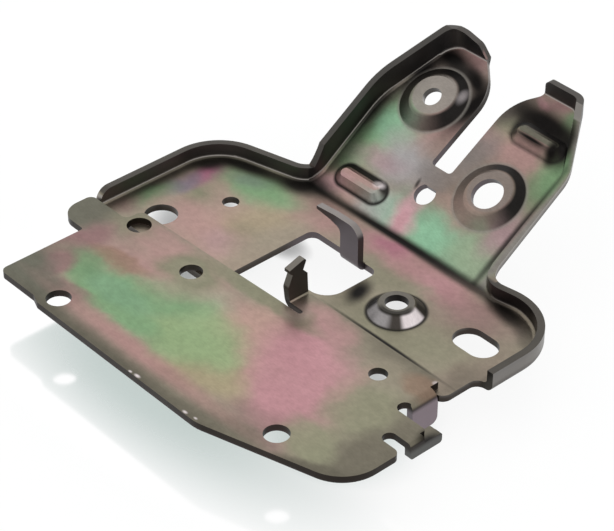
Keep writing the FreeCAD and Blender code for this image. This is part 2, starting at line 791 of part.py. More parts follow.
failed = [item.Name for item in doc.Objects if set(item.State) & {"Invalid", "Error"}]
if failed:
    raise SystemExit("failed objects: " + ", ".join(failed))
for label, node in nodes.items():
    shape = node.Shape
    if shape.isNull() or not shape.isValid() or len(shape.Solids) != 1:
        raise SystemExit("bad shape: %s, %d solids" % (label, len(shape.Solids)))
    box = shape.BoundBox
    print("%s: %.0f mm3, x %.1f to %.1f, y %.1f to %.1f, z %.1f to %.1f"
          % (label, shape.Volume, box.XMin, box.XMax, box.YMin, box.YMax, box.ZMin, box.ZMax))
    shape.exportStep("parts/%s.step" % label)
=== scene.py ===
import math
import bpy
from mathutils import Matrix, Vector

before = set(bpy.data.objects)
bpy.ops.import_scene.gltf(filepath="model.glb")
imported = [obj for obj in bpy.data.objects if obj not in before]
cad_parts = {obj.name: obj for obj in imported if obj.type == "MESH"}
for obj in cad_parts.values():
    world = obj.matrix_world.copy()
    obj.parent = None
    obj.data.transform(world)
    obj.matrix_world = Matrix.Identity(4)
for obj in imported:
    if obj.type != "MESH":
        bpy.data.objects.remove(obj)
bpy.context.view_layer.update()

# Stamped mounting plate in chromated zinc plated steel, on a white glossy table.
# Everything is in metres in the CAD frame; the dictionaries below are in millimetres, with y counted from
# the line where the horns bend up.

mm = 0.001
bendLine = 2.0          # where that line lies in the CAD frame, in mm
hornAngle = math.radians(31)
print("frame:", sorted(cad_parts))


# sRGB hex to the linear colour that Blender works in
def linear(hexColour, alpha=1.0):
    parts = [int(hexColour[i:i + 2], 16) / 255 for i in (1, 3, 5)]
    return [p / 12.92 if p <= 0.04045 else ((p + 0.055) / 1.055) ** 2.4 for p in parts] + [alpha]


# adds a node, sets its properties, then fills its inputs with numbers, colours or other nodes' outputs
def addNode(tree, kind, inputs=None, **settings):
    node = tree.nodes.new(kind)
    for name, setting in settings.items():
        setattr(node, name, setting)
    for key, source in (inputs or {}).items():
        socket = node.inputs[key]
        if isinstance(source, bpy.types.NodeSocket):
            tree.links.new(source, socket)
        else:
            socket.default_value = source
    return node


def maths(tree, operation, first, second=0.0, third=0.0):
    return addNode(tree, "ShaderNodeMath", {0: first, 1: second, 2: third}, operation=operation).outputs[0]


def times(tree, first, second):
    return maths(tree, "MULTIPLY", first, second)


def smooth(tree, number, low, high, start=0.0, end=1.0):
    return addNode(tree, "ShaderNodeMapRange", {"Value": number, "From Min": low, "From Max": high,
                                                "To Min": start, "To Max": end},
                   interpolation_type="SMOOTHSTEP").outputs[0]


def vectorMaths(tree, operation, first, second, third=(0, 0, 0), output="Vector"):
    return addNode(tree, "ShaderNodeVectorMath", {0: first, 1: second, 2: third},
                   operation=operation).outputs[output]


def mixColour(tree, factor, under, over):
    return addNode(tree, "ShaderNodeMix", {0: factor, 6: under, 7: over}, data_type="RGBA").outputs[2]


# the colours that the chromate film takes as its thickness drifts, those of its bare places, and those used for
# painted shade and painted highlights
film = {
    "edge": "#6e695c", "olive": "#948c7b", "moss": "#7f8069", "sand": "#a09878", "umber": "#8c705f",
    "brown": "#8a7b70", "clay": "#a88e84", "salmon": "#b39388", "rose": "#a98883", "pink": "#b5898d",
    "dusk": "#8a6c6b", "wine": "#8d6673", "violet": "#6f6a78", "mauve": "#a78b90", "green": "#7b9a74",
    "leaf": "#8fa279", "sage": "#97a388", "teal": "#739b86", "forest": "#6b8a66", "mint": "#8ab495",
    "lilac": "#a5a1a1", "blush": "#c49aa0", "grey": "#7d7774", "dark": "#262423", "shade": "#4a4541",
    "lip": "#837f79", "glint": "#ece2e3", "lever": "#67665a", "corner": "#5f5b4f", "orchid": "#c48c98",
    "disc": "#979089", "magenta": "#a5657c", "black": "#191716", "pale": "#dcc4b8", "fern": "#8b8b73",
    "blossom": "#a67f7c",
}

# spots are (x, y, half length, half width, turn in degrees, strength, colour); the blurred ones drift with
# the film, the marks stay sharp
frontFilm = {
    # the ground is the darker tone shown towards the edges, as painted shade; the broad olive spot over it is
    # the lighter middle
    "ground": "edge",
    "core": 0.4,
    "spots": [
        (4, -62, 82, 39, 0, 1.0, "olive"),
        (-40, -54, 27, 17, 0, 0.4, "brown"),
        (-12, -69, 58, 24, 2, 0.95, "rose"),          # pink ring round the green field
        (-36, -50, 14, 8, 0, 0.7, "rose"),
        (-50.5, -69, 8, 19, 0, 0.95, "dusk"),
        (16, -58, 24, 20, 0, 0.8, "salmon"),
        (19, -43, 15, 10, 0, 0.7, "rose"),
        (31, -61, 33, 18, -50, 0.95, "pink"),         # pink field at the right
        (38, -67, 13, 14, 0, 0.15, "orchid"),
        (25, -54, 14, 9, -30, 0.2, "orchid"),
        (36, -79, 16, 7, 0, 0.5, "dusk"),
        (12, -75, 20, 11, 0, 0.8, "sand"),
        (-18, -72.2, 42, 13.5, 2, 1.0, "green"),      # green field in the middle
        (-12, -61, 15, 13, 25, 0.9, "sage"),
        (2, -69, 21, 15, 0, 0.85, "leaf"),
        (-16, -65, 16, 10, 25, 0.95, "green"),
        (-22, -77, 24, 6, 0, 0.9, "green"),
        (-27, -72, 17, 7, 0, 0.25, "teal"),
        (-42, -71, 9, 9, 0, 0.7, "forest"),
        (-36, -63.2, 14, 3.8, 6, 0.7, "umber"),
        (-20, -54, 19, 15, 0, 0.5, "rose"),           # ring round the hole
        (-20, -53, 13, 10, 0, 0.95, "moss"),
        (-20, -53, 8, 6.5, 0, 0.5, "olive"),
        (-48, -50, 12, 7, 0, 0.5, "moss"),
        (0, -44.5, 30, 4.5, 0, 0.75, "moss"),
        (47, -44, 14, 9, 0, 0.75, "olive"),
        (54, -40, 8, 6, 0, 0.6, "umber"),
        (51, -58, 13, 15, 0, 0.7, "fern"),
        (41, -53, 4, 12, 10, 0.4, "clay"),
        (51, -75, 12, 9, 0, 0.9, "fern"),
        # painted shade towards the right and front edges
        (64, -68, 10, 24, 0, 0.8, "edge"),
        (30, -87, 20, 5, 14, 0.8, "edge"),
        (-47, -77, 6, 11, 0, 0.9, "dusk"),
        (-35, -82.5, 13, 4.5, 14, 0.6, "dusk"),
        # painted shade towards the left and front edges and at the front corners
        (-42, -88, 20, 8.5, -8, 0.95, "lever"),
        (-56, -84, 14, 13, 0, 1.0, "lever"),          # painted shade at the left corner
        (-60, -56, 10, 14, 0, 0.9, "lever"),
        (56, -84, 24, 6, 28, 0.7, "corner"),
    ],
    "marks": [
        (-2, -83.8, 58, 4.4, 0, 0.6, "blossom"),
        (-10, -91, 66, 6.4, 0, 1.0, "corner"),        # painted shade along the front edge
        # painted light beside the hook, over the hook's dark reflection
        (11, -43.5, 6, 5, -45, 0.6, "pale"),
        (68.2, -51.5, 3.6, 6.0, 0, 1.0, "black"),     # sheared top of the small tab
        # painted highlights at the flange's corner and on nicks along the front edge
        (55.0, -37.0, 1.1, 1.2, 0, 0.4, "glint"),
        (4.0, -90.0, 1.5, 0.7, 0, 0.8, "glint"),
        (1.5, -90.2, 0.9, 0.5, 0, 0.7, "glint"),
        (22.5, -90.0, 1.2, 0.6, 0, 0.7, "glint"),
        (26.0, -89.6, 0.9, 0.5, 0, 0.6, "glint"),
        (48.5, -85.0, 1.3, 0.6, 26, 0.6, "glint"),
    ],
}
baseFilm = {
    "ground": "olive",
    "core": 0.15,
    "spots": [
        (-32, -30, 34, 30, 0, 0.8, "clay"),
        (-26, -35, 22, 15, 0, 0.65, "salmon"),
        (-28, -20, 13, 20, 0, 0.55, "sand"),
        (-25, -29, 9, 8, 0, 0.4, "moss"),
        (-28, -37, 10, 8, 0, 0.5, "mauve"),
        (-18, -30, 9, 20, 0, 0.5, "olive"),
        (-21, -9, 20, 11, 0, 0.95, "rose"),
        (-39, -12, 24, 10, 10, 1.0, "green"),
        (-49, -24, 9, 15, 0, 0.9, "moss"),
        (-43, -11.6, 9, 4.0, 14, 0.35, "violet"),
        (-54.5, -19, 6, 12, -6, 0.95, "wine"),
        (-55, -18, 4, 6, 0, 0.6, "magenta"),
        (-55.5, -27, 5, 9, 0, 0.7, "violet"),
        (-57, -36, 5.5, 12, 0, 0.8, "forest"),
        (-57.5, -44, 5, 7, 0, 0.6, "dusk"),
        (-46, -20, 9, 6, 0, 0.5, "clay"),
        (-42, -36, 18, 10, -20, 0.7, "rose"),
        (-18, -31, 9, 22, 0, 0.6, "olive"),
        (16, -5, 44, 9, 0, 0.95, "rose"),             # pink strip along the bend
        (6, -5, 16, 7, 0, 0.85, "pink"),
        (5, -5, 9, 4, 0, 0.5, "magenta"),
        (27, -7, 17, 7, 0, 0.8, "pink"),
        (42, -11, 17, 11, 0, 0.7, "dusk"),
        (14, -15, 15, 8, 0, 0.4, "moss"),
        (57, -28, 11, 24, 0, 0.8, "brown"),
        (58, -31, 8, 14, 0, 0.5, "edge"),
        (30, -29, 26, 12, 0, 0.5, "moss"),
        (45, -22, 16, 14, 0, 0.35, "moss"),
    ],
    "marks": [
        (34, -33.6, 30, 1.0, 0, 1.0, "dark"),         # shade under the front sheet's back edge
        (13.5, -24, 4.2, 8, 20, 1.0, "dark"),         # painted shade beside the opening
        (-33, -3.6, 11, 6, 12, 0.95, "dark"),         # painted shade where the rim curves into the horns
        # painted shade under the rims where they turn into the horns, and along the sides
        (46, -2.2, 14, 4.6, -12, 0.9, "black"),
        (56, -6.0, 9, 4.0, -30, 0.5, "dark"),
        (-61, -24, 3.6, 40, 0, 0.6, "dark"),
        (-50, -8.4, 20, 4.6, 16, 0.95, "dark"),
        (-57.5, -15, 5, 8, -30, 0.9, "dark"),
        (61.0, -16, 2.2, 22, 0, 0.35, "dark"),
    ],
}
# on the horns y is the distance up the slope from the bend
hornFilm = {
    "ground": "brown",
    "core": 0.15,
    "spots": [
        (-16, 34, 34, 34, 0, 0.5, "grey"),
        (-22, 22, 17, 22, 0, 1.0, "sage"),            # pale green field under the left boss
        (-27, 20, 7, 22, 0, 0.9, "green"),
        (-24, 26, 11, 10, 0, 0.8, "mint"),
        (-11, 20, 16, 13, 0, 0.95, "lilac"),
        (-19, 16, 14, 5.5, 8, 0.7, "mauve"),
        (-8, 31, 12, 10, 0, 0.8, "rose"),
        (-6, 27, 7, 9, 0, 0.5, "brown"),
        (-18, 5, 26, 8, 0, 0.7, "salmon"),
        (-25, 3, 9, 6, 0, 0.6, "blush"),
        (-8, 4, 14, 8, 0, 0.95, "lilac"),
        (12, 5, 32, 12, 0, 1.0, "mint"),              # green strip along the bend
        (25, 7, 13, 11, 0, 0.7, "sage"),
        (0, 6.5, 6.5, 11, 0, 1.0, "blush"),
        (0, 5, 3, 5, 0, 0.5, "pink"),
        (0, 19, 10, 7, 0, 0.6, "grey"),
        (12, 15, 11, 6, 0, 0.6, "clay"),
        (28, 16, 7, 12, 0, 0.7, "mauve"),
        (14, 37, 24, 8, 0, 0.9, "rose"),
        (8, 43, 8, 9, 0, 0.3, "leaf"),
        (5, 31, 7, 13, 0, 0.7, "grey"),
        (29, 36, 8, 18, 0, 0.9, "forest"),
        (26, 38, 5, 8, 0, 0.5, "green"),
        (18, 54.5, 13, 5, 0, 0.8, "dusk"),
        (12, 53.5, 5, 2.5, -20, 0.6, "pink"),
        (22.5, 50, 6, 7, 0, 0.7, "forest"),
        (-18, 54.3, 13, 4.6, 0, 0.9, "dusk"),
        (-20, 53, 7, 3, 0, 0.5, "clay"),
    ],
    "marks": [
        (-32.5, 26, 3.2, 40, 0, 0.95, "dark"),        # shade along the foot of the tall rim
        # painted shade on the left tip round the boss
        (-29, 46, 8, 15, 28, 1.0, "dark"),
        (-22, 51.4, 12, 5.4, 0, 1.0, "black"),
        (-15, 49.6, 12, 3.6, 0, 0.9, "dark"),
        (-10.5, 48.6, 9, 3.6, -30, 1.0, "black"),
        (-6.2, 42.5, 5.8, 17, -6, 1.0, "black"),      # painted shade along the slot's edge, where the sheet curves down
        # painted shade between the slot and the upper bead
        (5.0, 47.5, 6.5, 11, -24, 0.85, "shade"),
        (16.5, 48.2, 19, 6.4, -5, 1.0, "black"),      # painted shade round the upper bead
        (26.0, 44.0, 5.4, 9, 20, 1.0, "black"),
        (9.8, 44.5, 3.4, 6, 0, 0.9, "dark"),
        # painted shade along the inside of the low lip
        (31.2, 18, 2.0, 36, 0, 0.9, "dark"),
        (34.0, 18, 2.4, 44, -1, 1.0, "lip"),          # low lip at the right, lighter than the sheet
        (28.6, 48, 20, 2.6, 120, 0.9, "lip"),
        (-3.7, 15.6, 0.9, 2.6, 12, 0.8, "dark"),
    ],
}
# over the pressings, with y level and not up the slope: painted shade in the crease where the horns bend up,
# painted shade on the upper side of the top bead and below its flat, and painted highlights on the left bead's
# end and the left boss's flank
overMarks = [
    (2, -0.4, 62, 2.4, 0.6, 1.0, "black"),
    (26, -0.9, 30, 2.6, 0, 0.7, "dark"),
    (-30, 0, 12, 4.5, 0, 0.9, "dark"),
    (16.5, 40.9, 16, 3.4, -2, 1.0, "black"),
    (17.0, 34.9, 11, 1.0, -1, 1.0, "black"),
    (24.4, 35.2, 3.0, 4.4, 15, 1.0, "black"),
    (-12.6, 7.6, 2.5, 2.2, 0, 1.0, "glint"),
    (-10.4, 36.4, 1.8, 3.4, 8, 0.3, "glint"),
]

# pressed-up bosses, beads and cone: centre (y up the slope on the horns), half of the straight stretch,
# radii of the flat and the foot, the direction from +X in which the flank's painted shade is darkest, how dark
# the flank is painted on its light and its dark side, and the colour and strength of the line round the foot, a
# painted highlight when light and painted shade when dark, and of the flat top
pressings = {
    "leftBoss": {"centre": (-17.7, 38.3), "straight": 0.0, "flat": 6.7, "foot": 10.4, "darkSide": 30,
                 "flank": (0.65, 1.0), "line": ("lip", 0.6), "top": ("disc", 0.85), "onHorn": True},
    "rightBoss": {"centre": (17.4, 22.7), "straight": 0.0, "flat": 6.7, "foot": 10.4, "darkSide": 52,
                  "flank": (0.25, 1.0), "line": ("lip", 0.5), "top": ("grey", 0.5), "onHorn": True},
    "leftBead": {"centre": (-18.1, 7.2), "straight": 5.6, "flat": 1.3, "foot": 3.6, "darkSide": 80,
                 "flank": (0.1, 0.95), "line": ("dark", 0.95), "top": ("rose", 0.6), "onHorn": True},
    "rightBead": {"centre": (18.2, 42.7), "straight": 5.6, "flat": 1.3, "foot": 3.6, "darkSide": 80,
                  "flank": (0.1, 0.9), "line": ("dark", 0.5), "top": ("lever", 0.9), "onHorn": True},
    "cone": {"centre": (26.0, -22.5), "straight": 0.0, "flat": 4.75, "foot": 7.8, "darkSide": 150,
             "flank": (1.0, 1.0), "line": ("dark", 0.95), "top": ("lip", 0.8), "onHorn": False},
}

# what the cone mirrors: direction from +X, half angle, strength and tone, on its flank and on the shoulder of
# its flat top
coneFlank = [(-98, 46, 0.8, "lilac"), (-2, 36, 1.0, "glint"), (88, 44, 0.5, "lip")]
coneShoulder = [(-50, 80, 0.9, "black")]


# a soft oval's strength: full out to its core, a share of its size, and none at its edge
def ovalStrength(tree, where, core, x, y, halfLength, halfWidth, turn, strength):
    if turn:
        where = addNode(tree, "ShaderNodeVectorRotate", {"Vector": where, "Center": (x * mm, y * mm, 0),
                                                         "Angle": -math.radians(turn)},
                        rotation_type="Z_AXIS").outputs[0]
    placed = vectorMaths(tree, "MULTIPLY_ADD", where, (1 / (halfLength * mm), 1 / (halfWidth * mm), 0),
                         (-x / halfLength, -y / halfWidth, 0))
    away = vectorMaths(tree, "LENGTH", placed, (0, 0, 0), output="Value")
    return smooth(tree, away, core, 1.0, strength, 0.0)


# paints ovals over a colour, one after another
def paintSpots(tree, where, colour, spots, core=0.15):
    for *oval, tone in spots:
        colour = mixColour(tree, ovalStrength(tree, where, core, *oval), colour, linear(film[tone]))
    return colour


# how far a place lies towards a direction, given in degrees from +X: 1 along it and -1 across from it
def towards(tree, placed, degrees):
    angle = math.radians(degrees)
    return vectorMaths(tree, "DOT_PRODUCT", vectorMaths(tree, "NORMALIZE", placed, (0, 0, 0)),
                       (math.cos(angle), math.sin(angle), 0), output="Value")


# tints parts of a ring, each round its own direction
def paintShine(tree, placed, colour, zone, shine):
    for direction, halfAngle, strength, tone in shine:
        spread = [math.cos(math.radians(halfAngle * share)) for share in (1.0, 0.55)]
        width = smooth(tree, towards(tree, placed, direction), *spread, 0.0, strength)
        colour = mixColour(tree, times(tree, zone, width), colour, linear(film[tone]))
    return colour


# painted light and shade of a pressing: its flat top, a flank painted dark on one side, a thin line round its
# foot, light or dark as given, and on the cone its painted reflections
def paintPressing(tree, place, colour, centre, straight, flat, foot, darkSide, flank, line, top, onHorn):
    squeeze = math.cos(hornAngle) if onHorn else 1.0
    placed = vectorMaths(tree, "MULTIPLY_ADD", place, (1 / (foot * mm), 1 / (foot * squeeze * mm), 0),
                         (-centre[0] / foot, -centre[1] / foot, 0))
    if straight:
        parts = addNode(tree, "ShaderNodeSeparateXYZ", {0: placed}).outputs
        half = straight / foot
        clamped = maths(tree, "MINIMUM", maths(tree, "MAXIMUM", parts[0], -half), half)
        placed = addNode(tree, "ShaderNodeCombineXYZ", {0: maths(tree, "SUBTRACT", parts[0], clamped),
                                                        1: parts[1]}).outputs[0]
    reach = vectorMaths(tree, "LENGTH", placed, (0, 0, 0), output="Value")
    side = towards(tree, placed, darkSide)
    onTop = smooth(tree, reach, flat / foot - 0.05, flat / foot + 0.02, top[1], 0.0)
    colour = mixColour(tree, onTop, colour, linear(film[top[0]]))
    band = times(tree, smooth(tree, reach, flat / foot - 0.04, flat / foot + 0.08),
                 smooth(tree, reach, 0.95, 1.02, 1.0, 0.0))
    flankTone = mixColour(tree, smooth(tree, side, -0.7, 0.3), linear(film["shade"]), linear(film["dark"]))
    colour = mixColour(tree, times(tree, band, smooth(tree, side, -0.5, 0.6, *flank)), colour, flankTone)
    if not onHorn:
        shoulder = times(tree, smooth(tree, reach, flat / foot - 0.16, flat / foot - 0.08),
                         smooth(tree, reach, flat / foot + 0.02, flat / foot + 0.10, 1.0, 0.0))
        colour = paintShine(tree, placed, colour, band, coneFlank)
        colour = paintShine(tree, placed, colour, shoulder, coneShoulder)
    lineWidth = 0.5 / foot
    ring = times(tree, smooth(tree, reach, 1.0 - lineWidth, 1.0),
                 smooth(tree, reach, 1.0, 1.0 + 2 * lineWidth, line[1], 0.0))
    return mixColour(tree, ring, colour, linear(film[line[0]]))


# the tones painted on steep faces by which way they face, as painted shade and light: the rim's walls and top,
# sheared edges, the finger, the hook and the folds
wallTones = {
    "lobeInside": "#676360", "rightLobe": "#433f40", "lobeOutside": "#7a7774", "lobeTop": "#4d4a46",
    "hornInside": "#4d4b4a", "hornOutside": "#a19d99", "hornTop": "#504e4b", "tipSide": "#4b4946",
    "cutEdge": "#37322f", "endFace": "#2e2c28", "coneHole": "#1c191a", "footHighlight": "#a29d98",
    "finger": "#5d565a", "fingerTop": "#8b8583",
    "frontEdge": "#2a2523", "hookSide": "#4f4a48", "hookTop": "#77736d",
    "folded": "#83777d", "tab": "#585856",
}


# noise scales, each per metre: 11 mm swirls, which push the film's colours about by up to drift mm, a 2 mm
# mottle, and the rolled sheet's grain, about 1 mm across and drawn out along it; the bump's depth is in mm
pattern = {"swirls": 90.0, "drift": 9.0, "mottle": 450.0, "streaks": 900.0, "streakTurn": 0.7, "streakRatio": 4,
           "shade": (0.95, 1.05), "roughness": (0.34, 0.44), "bump": 0.1, "bumpDepth": 0.2}

# where one face's tone gives way to the next one's, each over a short stretch
rearPlaces = {
    "gauge": 2.0,
    "bend": (-0.3, 0.3),             # y where the horns begin
    "lobes": (38, 40),               # distance to the side past which the lobes stay level
    "finger": (24, 30),              # distance from the bend's middle within which walls are the finger's
    "rimTop": (2.6, 3.4),            # height over the sheet
    "sheared": (-1.2, 1.4),          # height over the sheet below which a wall is a sheared edge
    "rightLobe": (28, 34),           # x
    "rightEnd": (50, 52),            # x past which a wall that faces the front is the rim's end
    "footHighlight": (28, 36),            # x where the painted highlight at the rim's foot fades
    "tipLevel": (42.6, 43.6),        # y where the horns' tips turn up
    "tipSide": (43.0, 44.5),         # y
    "tipTop": (46.2, 46.8),          # y past which the tips' tops count, and how much lower they lie
    "tipDrop": -1.4,
    "tipEnd": (48.0, 48.6),          # y
    "front": 60,                     # distance in front of the bend from which walls face in or out
    "coneHole": 5.0,                 # radius
}
# heights, and the x that parts the small tab from the flange
frontPlaces = {"folded": (0.6, 2.6), "hookSide": (4.2, 5.0), "hookTop": (5.0, 6.5), "tab": (59, 60)}


# a smooth step over a stretch given in mm
def ramp(tree, length, stretch, start=0.0, end=1.0):
    return smooth(tree, length, stretch[0] * mm, stretch[1] * mm, start, end)


def wall(name):
    return linear(wallTones[name])


# a sheet's ground, the spots that drift and the marks that don't
def paintFilm(tree, where, place, sheet):
    colour = paintSpots(tree, where, linear(film[sheet["ground"]]), sheet["spots"], sheet["core"])
    return paintSpots(tree, place, colour, sheet["marks"])


# the rear sheet's base and horns, with the pressings over both
def paintRearFilm(tree, where, place, onHorns):
    upSlope = (1, 1 / math.cos(hornAngle), 1)
    upWhere = vectorMaths(tree, "MULTIPLY", where, upSlope)
    upPlace = vectorMaths(tree, "MULTIPLY", place, upSlope)
    base = paintFilm(tree, where, place, baseFilm)
    colour = mixColour(tree, onHorns, base, paintFilm(tree, upWhere, upPlace, hornFilm))
    for pressing in pressings.values():
        colour = paintPressing(tree, place, colour, **pressing)
    return paintSpots(tree, place, colour, overMarks)


# painted shade on the rear sheet's steep faces: walls that face out are painted lighter than those that face in
def rearWallTone(tree, place, facing, onHorns, isFinger, lift):
    x, y = addNode(tree, "ShaderNodeSeparateXYZ", {0: place}).outputs[:2]
    fromFront = vectorMaths(tree, "MULTIPLY_ADD", place, (1, 1, 0), (0, rearPlaces["front"] * mm, 0))
    fromFront = vectorMaths(tree, "NORMALIZE", fromFront, (0, 0, 0))
    outwards = vectorMaths(tree, "DOT_PRODUCT", fromFront, facing, output="Value")
    lobeInside = mixColour(tree, ramp(tree, x, rearPlaces["rightLobe"]), wall("lobeInside"), wall("rightLobe"))
    inside = mixColour(tree, onHorns, lobeInside, wall("hornInside"))
    hornOutside = mixColour(tree, ramp(tree, y, rearPlaces["tipSide"]), wall("hornOutside"), wall("tipSide"))
    outside = mixColour(tree, onHorns, wall("lobeOutside"), hornOutside)
    tone = mixColour(tree, smooth(tree, outwards, -0.1, 0.35), inside, outside)
    tone = mixColour(tree, ramp(tree, lift, rearPlaces["sheared"]), wall("cutEdge"), tone)
    tone = mixColour(tree, isFinger, tone, wall("finger"))
    # painted shade on the rim's sheared end at the right, which faces the front, and on the wall of the hole in
    # the cone
    towardsFront = vectorMaths(tree, "DOT_PRODUCT", facing, (0, -1, 0), output="Value")
    endFace = times(tree, smooth(tree, towardsFront, 0.8, 0.92), ramp(tree, x, rearPlaces["rightEnd"]))
    tone = mixColour(tree, endFace, tone, wall("endFace"))
    radius = rearPlaces["coneHole"]
    inCone = ovalStrength(tree, place, 0.85, *pressings["cone"]["centre"], radius, radius, 0, 1.0)
    return mixColour(tree, inCone, tone, wall("coneHole"))


# paints shade onto the rear sheet's steep faces and the rim's top, by how far each leans from the bent sheet
# and how high it lies over it
def paintRearWalls(tree, place, facing, colour, onHorns, besideHorns):
    x, y, height = addNode(tree, "ShaderNodeSeparateXYZ", {0: place}).outputs
    hornNormal = (0, -math.sin(hornAngle), math.cos(hornAngle))
    upright = vectorMaths(tree, "DOT_PRODUCT", facing, (0, 0, 1), output="Value")
    hornUpright = vectorMaths(tree, "DOT_PRODUCT", facing, hornNormal, output="Value")
    bentUp = times(tree, onHorns, ramp(tree, y, rearPlaces["tipLevel"], 1.0, 0.0))
    flatness = addNode(tree, "ShaderNodeMix", {0: bentUp, 2: upright, 3: hornUpright}).outputs[0]
    overBase = maths(tree, "SUBTRACT", height, rearPlaces["gauge"] * mm)
    overHorns = maths(tree, "MULTIPLY_ADD", overBase, math.cos(hornAngle),
                      times(tree, y, -math.sin(hornAngle)))
    # 20 mm more leaves the lobes to their height over the base
    overHorns = maths(tree, "MULTIPLY_ADD", besideHorns, 20 * mm, overHorns)
    lift = maths(tree, "SUBTRACT", maths(tree, "MINIMUM", overBase, overHorns),
                 ramp(tree, y, rearPlaces["tipTop"], 0.0, rearPlaces["tipDrop"] * mm))
    fromBend = vectorMaths(tree, "LENGTH", vectorMaths(tree, "MULTIPLY", place, (1, 1, 0)), (0, 0, 0),
                           output="Value")
    isFinger = ramp(tree, fromBend, rearPlaces["finger"], 1.0, 0.0)
    topTone = mixColour(tree, onHorns, wall("lobeTop"), wall("hornTop"))
    topTone = mixColour(tree, isFinger, topTone, wall("fingerTop"))
    atTop = maths(tree, "MAXIMUM", ramp(tree, lift, rearPlaces["rimTop"], 0.0, 0.95),
                  ramp(tree, y, rearPlaces["tipEnd"], 0.0, 0.95))
    colour = mixColour(tree, atTop, colour, topTone)
    wallTone = rearWallTone(tree, place, facing, onHorns, isFinger, lift)
    colour = mixColour(tree, smooth(tree, flatness, 0.15, 0.62, 0.95, 0.0), colour, wallTone)
    # painted highlight in the fillet at the rim's foot
    footHighlight = times(tree, smooth(tree, flatness, 0.30, 0.45), smooth(tree, flatness, 0.55, 0.68, 0.8, 0.0))
    footHighlight = times(tree, footHighlight, smooth(tree, isFinger, 0.4, 0.6, 1.0, 0.0))
    footHighlight = times(tree, footHighlight, ramp(tree, x, rearPlaces["footHighlight"], 1.0, 0.25))
    return mixColour(tree, footHighlight, colour, wall("footHighlight"))


# paints the front sheet's sheared edges, its hook, and the flange and tab that are folded down, with painted
# shade on the faces that stand steep
def paintFrontWalls(tree, place, facing, colour):
    x, _, height = addNode(tree, "ShaderNodeSeparateXYZ", {0: place}).outputs
    flatness = vectorMaths(tree, "DOT_PRODUCT", facing, (0, 0, 1), output="Value")
    folded = ramp(tree, height, frontPlaces["folded"], 1.0, 0.0)
    foldedTone = mixColour(tree, ramp(tree, x, frontPlaces["tab"]), wall("folded"), wall("tab"))
    colour = mixColour(tree, folded, colour, foldedTone)
    colour = mixColour(tree, ramp(tree, height, frontPlaces["hookTop"], 0.0, 0.9), colour, wall("hookTop"))
    wallTone = mixColour(tree, ramp(tree, height, frontPlaces["hookSide"]), wall("frontEdge"), wall("hookSide"))
    wallTone = mixColour(tree, folded, wallTone, foldedTone)
    return mixColour(tree, smooth(tree, flatness, 0.12, 0.60, 0.94, 0.0), colour, wallTone)


# Zinc plated steel, yellow chromated: a clear conversion film a few hundred nanometres thick over zinc, whose
# thickness drifts over a hand's width, so broad pink, green and olive fringes run over the satin metal.
# Its base colours are what that film gives head on, with painted shade, highlights and reflections laid over
# them; steep walls are painted dark as shade.
def chromatedZinc(name, isRear):
    material = bpy.data.materials.new(name)
    material.use_nodes = True
    tree = material.node_tree
    tree.nodes.clear()
    objectPlace = addNode(tree, "ShaderNodeTexCoord").outputs["Object"]
    place = addNode(tree, "ShaderNodeMapping", {"Vector": objectPlace,
                                                "Location": (0, -bendLine * mm, 0)}).outputs[0]
    swirls = addNode(tree, "ShaderNodeTexNoise", {"Vector": place, "Scale": pattern["swirls"], "Detail": 3.0})
    centred = vectorMaths(tree, "SUBTRACT", swirls.outputs["Color"], (0.5, 0.5, 0.5))
    drift = pattern["drift"] * mm
    where = vectorMaths(tree, "MULTIPLY_ADD", centred, (drift, drift, 0.0), place)
    facing = addNode(tree, "ShaderNodeNewGeometry").outputs["Normal"]
    if isRear:
        x, y = addNode(tree, "ShaderNodeSeparateXYZ", {0: place}).outputs[:2]
        besideHorns = ramp(tree, maths(tree, "ABSOLUTE", x), rearPlaces["lobes"])
        onHorns = times(tree, ramp(tree, y, rearPlaces["bend"]), maths(tree, "SUBTRACT", 1.0, besideHorns))
        colour = paintRearFilm(tree, where, place, onHorns)
    else:
        colour = paintFilm(tree, where, place, frontFilm)
    mottle = addNode(tree, "ShaderNodeTexNoise", {"Vector": place, "Scale": pattern["mottle"],
                                                  "Detail": 3.0}).outputs["Fac"]
    grain = addNode(tree, "ShaderNodeMapping", {"Vector": place, "Rotation": (0, 0, pattern["streakTurn"]),
                                                "Scale": (1, pattern["streakRatio"], 1)})
    streaks = addNode(tree, "ShaderNodeTexNoise", {"Vector": grain.outputs[0], "Scale": pattern["streaks"],
                                                   "Detail": 2.0}).outputs["Fac"]
    shade = times(tree, smooth(tree, mottle, 0.3, 0.7, *pattern["shade"]),
                  smooth(tree, streaks, 0.3, 0.7, *pattern["shade"]))
    colour = addNode(tree, "ShaderNodeVectorMath", {0: colour, "Scale": shade}, operation="SCALE").outputs[0]
    if isRear:
        colour = paintRearWalls(tree, place, facing, colour, onHorns, besideHorns)
    else:
        colour = paintFrontWalls(tree, place, facing, colour)
    bump = addNode(tree, "ShaderNodeBump", {"Strength": pattern["bump"], "Distance": pattern["bumpDepth"] * mm,
                                            "Height": streaks}).outputs[0]
    roughness = smooth(tree, swirls.outputs["Fac"], 0.3, 0.7, *pattern["roughness"])
    surface = addNode(tree, "ShaderNodeBsdfPrincipled", {"Base Color": colour, "Metallic": 1.0,
                                                         "Roughness": roughness, "Normal": bump})
    addNode(tree, "ShaderNodeOutputMaterial", {"Surface": surface.outputs[0]})
    return material


finishes = {
    "front_plate": chromatedZinc("chromatedZincFrontSheet", False),
    "horned_plate": chromatedZinc("chromatedZincRearSheet", True),
}
for nodeName, finish in finishes.items():
    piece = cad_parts[nodeName]
    piece.data.materials.clear()
    piece.data.materials.append(finish)
print("finishes:", sorted(finishes))


